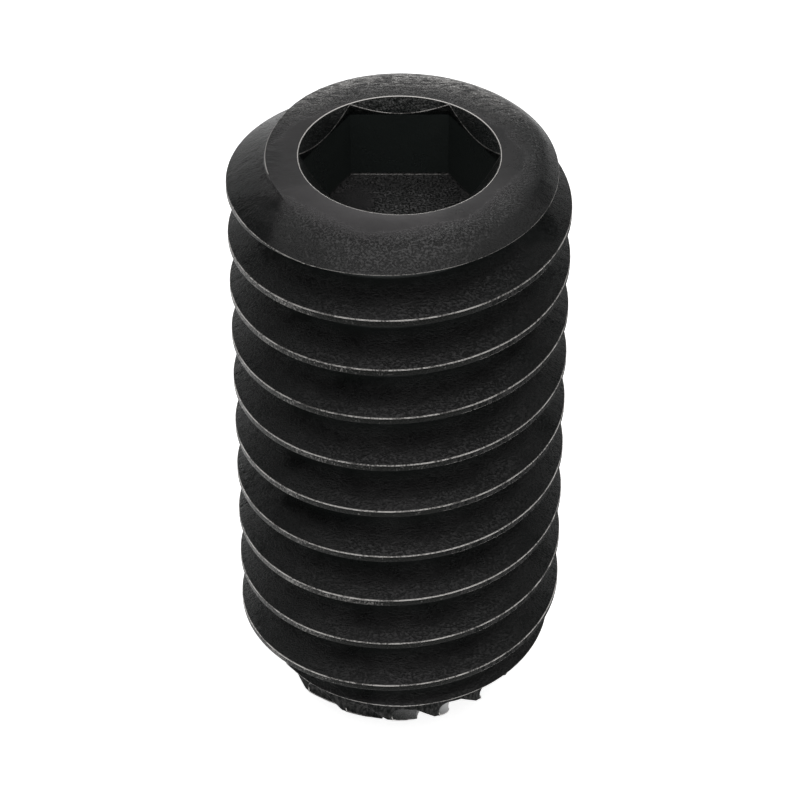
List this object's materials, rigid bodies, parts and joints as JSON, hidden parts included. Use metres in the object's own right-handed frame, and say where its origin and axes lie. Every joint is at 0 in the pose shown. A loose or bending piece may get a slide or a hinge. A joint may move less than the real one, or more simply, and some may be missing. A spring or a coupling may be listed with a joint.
{
  "type": "hex socket set screw",
  "caption": "Headless set screw with a full-length right-hand thread, a hex socket in one end and a knurled cup point at the other.",
  "frame": {"origin": "centre of the cup point's rim circle, on the surface that the screw stands on", "axes": "+Z along the screw's axis, from the cup point up to the hex socket; +X through two opposite corners of the hex socket"},
  "size_m": [0.008, 0.008, 0.0159],
  "materials": {
    "black_oxide_steel": "black oxide on alloy steel, satin, with a fine pitted grain and bright thin wear on the edges"
  },
  "bodies": {
    "root": {"set_screw": "black_oxide_steel"}
  },
  "joints": []
}
